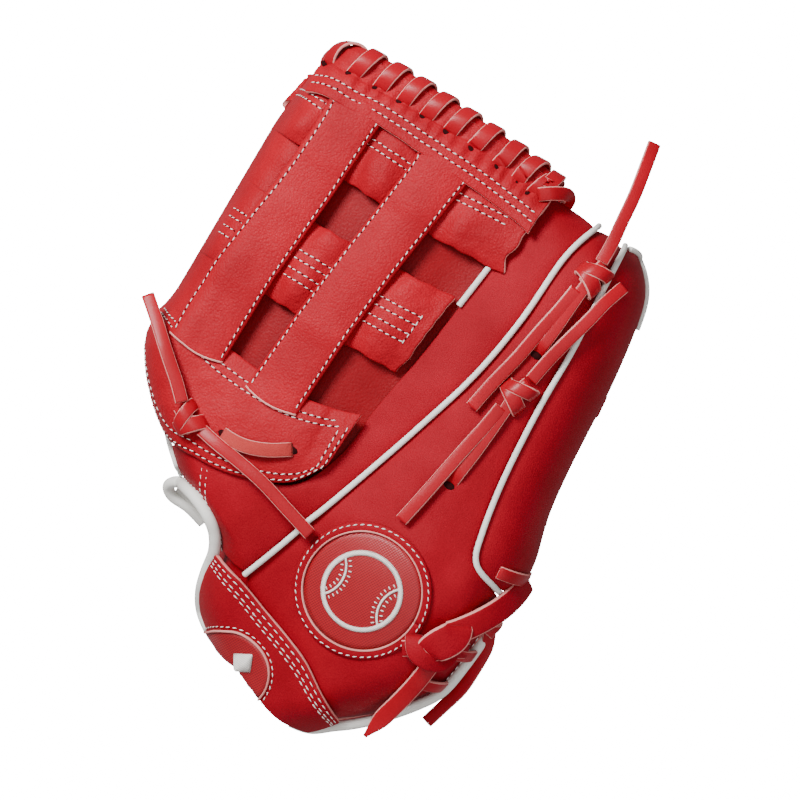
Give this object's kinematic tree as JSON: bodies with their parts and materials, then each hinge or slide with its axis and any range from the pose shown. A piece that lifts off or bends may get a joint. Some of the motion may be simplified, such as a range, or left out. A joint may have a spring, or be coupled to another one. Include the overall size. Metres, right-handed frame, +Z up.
{
  "type": "baseball mitt",
  "caption": "Left-hand first-base style mitt lying on its finger backs, with a dual-post web, wrist strap and rawhide laces; the thumb half opens from the finger half.",
  "frame": {"origin": "on the rest plane, under the centre of the mitt's box without its free lace tails", "axes": "+X to the outside of the thumb, +Y to the finger tips, +Z up from the rest plane"},
  "size_m": [0.2335, 0.3334, 0.121],
  "materials": {
    "web_leather": "satin",
    "back_leather": "matte",
    "palm_leather": "satin",
    "lace": "satin",
    "white_trim": "satin",
    "badge_cloth": "satin",
    "embroidery": "satin",
    "lining": "matte"
  },
  "bodies": {
    "finger_half": {"finger_palm_pad": "palm_leather", "index_panel": "back_leather", "middle_panel": "back_leather", "ring_panel": "back_leather", "little_panel": "back_leather", "finger_heel_panel": "back_leather", "finger_piping": "white_trim", "finger_edge_binding": "back_leather", "stall_dividers": "palm_leather", "finger_heel_pad": "palm_leather", "finger_wrist_lining": "lining", "lower_strap": "back_leather"},
    "thumb_half": {"thumb_palm_pad": "palm_leather", "thumb_stall_lining": "lining", "thumb_inner_panel": "back_leather", "thumb_center_panel": "back_leather", "thumb_outer_panel": "back_leather", "piping_inner": "white_trim", "piping_outer": "white_trim", "thumb_edge_piping": "white_trim", "thumb_badge": "badge_cloth", "badge_emblem": "embroidery", "web_back_panel": "palm_leather", "web_top_strap": "web_leather", "web_middle_strap": "web_leather", "web_base_pad": "web_leather", "web_post_left": "web_leather", "web_post_right": "web_leather", "web_top_binding": "web_leather", "web_whip_lace": "lace", "web_base_lace": "lace", "web_side_lace": "lace", "tip_knot": "lace", "thumb_knot": "lace", "web_knot": "lace", "heel_knot": "lace", "heel_tie": "lace", "heel_lace": "lace", "heel_binding": "white_trim", "back_opening_binding": "white_trim", "wrist_strap": "back_leather", "strap_badge": "badge_cloth", "strap_emblem": "embroidery", "wrist_lining": "lining", "tip_tail_up": "lace", "tip_tail_down": "lace", "thumb_tail_up": "lace", "thumb_tail_down": "lace", "web_tail_left": "lace", "web_tail_right": "lace", "heel_tail": "lace", "heel_tie_tail": "lace"}
  },
  "joints": [
    {"name": "mitt_fold", "type": "hinge", "parent": "finger_half", "child": "thumb_half", "pos_m": [-0.0984, 0, 0.038], "axis": [0, -1, 0], "range_deg": [-2, 40]}
  ]
}
